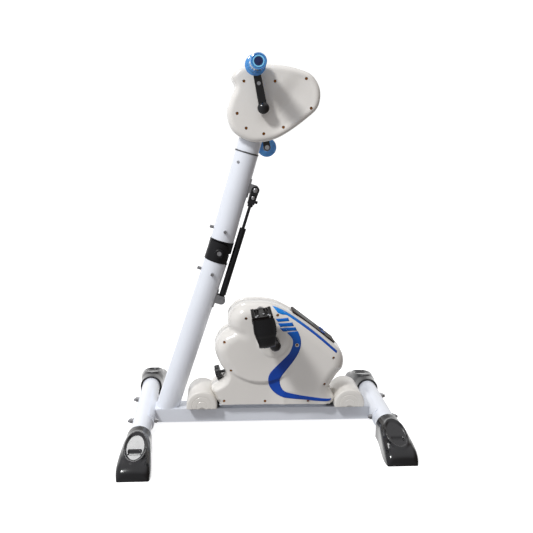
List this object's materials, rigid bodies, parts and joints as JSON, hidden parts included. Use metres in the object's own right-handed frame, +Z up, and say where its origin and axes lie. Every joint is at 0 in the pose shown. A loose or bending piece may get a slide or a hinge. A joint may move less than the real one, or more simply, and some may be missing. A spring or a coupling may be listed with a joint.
{
  "type": "pedal exerciser",
  "caption": "Upright floor-standing pedal exerciser with hand cranks on a tilting mast, foot cranks with strapped pedals, a tension knob and a small console.",
  "frame": {"origin": "floor level under the middle of the base, half way between the cross tubes and between the ends of the long one", "axes": "+X from the mast foot toward the user, +Y across the machine to the far hand crank at rest, +Z up"},
  "size_m": [0.702, 0.69, 0.945],
  "materials": {
    "white_tube": "gloss powder coat",
    "zinc_bolts": "zinc plated",
    "cap_black": "gloss",
    "hinge_black": "satin",
    "ring_steel": "satin",
    "bracket_steel": "satin",
    "gas_black": "satin black",
    "rod_chrome": "polished",
    "gas_head_steel": "satin",
    "shell_white": "gloss",
    "screw_brown": "bronze plated",
    "frame_steel": "satin",
    "bearing_steel": "ground",
    "crank_black": "gloss black",
    "grip_blue": "translucent gloss",
    "pulley_black": "satin",
    "belt_black": "matte",
    "flywheel_iron": "turned",
    "cover_cream": "satin",
    "block_black": "satin",
    "pedal_black": "textured",
    "strap_black": "satin",
    "knob_black": "ribbed",
    "console_dark": "gloss",
    "display_grey": "clear over grey",
    "button_blue": "soft"
  },
  "bodies": {
    "base": {"beam": "white_tube", "left_cross_tube": "white_tube", "right_cross_tube": "white_tube", "saddle_bolts": "zinc_bolts", "caps_left": "cap_black", "caps_right": "cap_black", "lower_mast": "white_tube", "lower_screws": "zinc_bolts", "hinge_fork": "hinge_black", "hinge_bolt": "zinc_bolts", "gas_bracket_low": "bracket_steel", "case_near": "shell_white", "case_far": "shell_white", "case_screws": "screw_brown", "base_plate": "white_tube", "cover_left": "cover_cream", "cover_right": "cover_cream", "foot_blocks": "block_black", "foot_frame": "frame_steel", "foot_bearings": "bearing_steel", "foot_belt": "belt_black", "foot_magnet": "frame_steel", "console": "console_dark", "display": "display_grey"},
    "mast": {"hinge_tongue": "hinge_black", "upper_mast": "white_tube", "upper_screws": "zinc_bolts", "neck_ring": "ring_steel", "neck": "white_tube", "gas_bracket_up": "bracket_steel", "head_near": "shell_white", "head_far": "shell_white", "head_screws": "screw_brown", "head_frame": "frame_steel", "hand_bearings": "bearing_steel", "hand_belt": "belt_black", "hand_magnet": "frame_steel"},
    "gas_tube": {"gas_cylinder": "gas_black"},
    "gas_ram": {"gas_rod": "rod_chrome", "gas_head": "gas_head_steel"},
    "hand_crank": {"hand_axle": "bearing_steel", "hand_arms": "crank_black", "arm_screws": "bearing_steel", "hand_pins": "bearing_steel", "hand_pulley": "pulley_black"},
    "near_grip": {"grip_near": "grip_blue"},
    "far_grip": {"grip_far": "grip_blue"},
    "hand_wheel": {"hand_flywheel": "flywheel_iron"},
    "foot_crank": {"foot_axle": "bearing_steel", "foot_arms": "crank_black", "pedal_pins": "bearing_steel", "foot_pulley": "pulley_black"},
    "near_pedal": {"pedal_near": "pedal_black", "strap_near": "strap_black"},
    "far_pedal": {"pedal_far": "pedal_black", "strap_far": "strap_black"},
    "foot_wheel": {"foot_flywheel": "flywheel_iron"},
    "tension_knob": {"knob": "knob_black"},
    "key_a": {"button_a": "button_blue"},
    "key_b": {"button_b": "button_blue"}
  },
  "joints": [
    {"name": "mast_tilt", "type": "hinge", "parent": "base", "child": "mast", "pos_m": [-0.116, 0, 0.46], "axis": [0, 1, 0], "range_deg": [0, 30]},
    {"name": "gas_tube_turn", "type": "hinge", "parent": "base", "child": "gas_tube", "pos_m": [-0.11121, 0, 0.3321], "axis": [0, 1, 0], "range_deg": [0, 20]},
    {"name": "gas_ram_turn", "type": "hinge", "parent": "mast", "child": "gas_ram", "pos_m": [-0.02458, 0, 0.61824], "axis": [0, 1, 0], "range_deg": [-13, 0]},
    {"name": "hand_crank_spin", "type": "hinge", "parent": "mast", "child": "hand_crank", "pos_m": [-0.01, 0, 0.821], "axis": [0, 1, 0], "continuous": true},
    {"name": "near_grip_spin", "type": "hinge", "parent": "hand_crank", "child": "near_grip", "pos_m": [-0.03014, -0.14, 0.91997], "axis": [0, 1, 0], "continuous": true},
    {"name": "far_grip_spin", "type": "hinge", "parent": "hand_crank", "child": "far_grip", "pos_m": [0.01014, 0.14, 0.72203], "axis": [0, 1, 0], "continuous": true},
    {"name": "hand_wheel_spin", "type": "hinge", "parent": "mast", "child": "hand_wheel", "pos_m": [0.062, 0, 0.842], "axis": [0, 1, 0], "continuous": true},
    {"name": "foot_crank_spin", "type": "hinge", "parent": "base", "child": "foot_crank", "pos_m": [0.024, 0, 0.236], "axis": [0, 1, 0], "continuous": true},
    {"name": "near_pedal_spin", "type": "hinge", "parent": "foot_crank", "child": "near_pedal", "pos_m": [-0.01312, -0.15, 0.32345], "axis": [0, 1, 0], "continuous": true},
    {"name": "far_pedal_spin", "type": "hinge", "parent": "foot_crank", "child": "far_pedal", "pos_m": [0.06112, 0.15, 0.14855], "axis": [0, 1, 0], "continuous": true},
    {"name": "foot_wheel_spin", "type": "hinge", "parent": "base", "child": "foot_wheel", "pos_m": [-0.062, 0, 0.196], "axis": [0, 1, 0], "continuous": true},
    {"name": "tension_turn", "type": "hinge", "parent": "base", "child": "tension_knob", "pos_m": [-0.108, 0, 0.136], "axis": [-0.9613, 0, -0.2756], "range_deg": [0, 270]},
    {"name": "key_a_press", "type": "slide", "parent": "base", "child": "key_a", "axis": [-0.6101, 0, -0.7923], "range_m": [0, 0.0015], "stiffness_N_per_m": 300, "springref_m": -0.001},
    {"name": "key_b_press", "type": "slide", "parent": "base", "child": "key_b", "axis": [-0.6101, 0, -0.7923], "range_m": [0, 0.0015], "stiffness_N_per_m": 300, "springref_m": -0.001}
  ],
  "couplings": [
    {"joint": "gas_tube_turn", "follows": "mast_tilt", "ratio": 0.6052},
    {"joint": "gas_ram_turn", "follows": "mast_tilt", "ratio": -0.3948},
    {"joint": "hand_wheel_spin", "follows": "hand_crank_spin", "ratio": 4.1667},
    {"joint": "foot_wheel_spin", "follows": "foot_crank_spin", "ratio": 5}
  ]
}
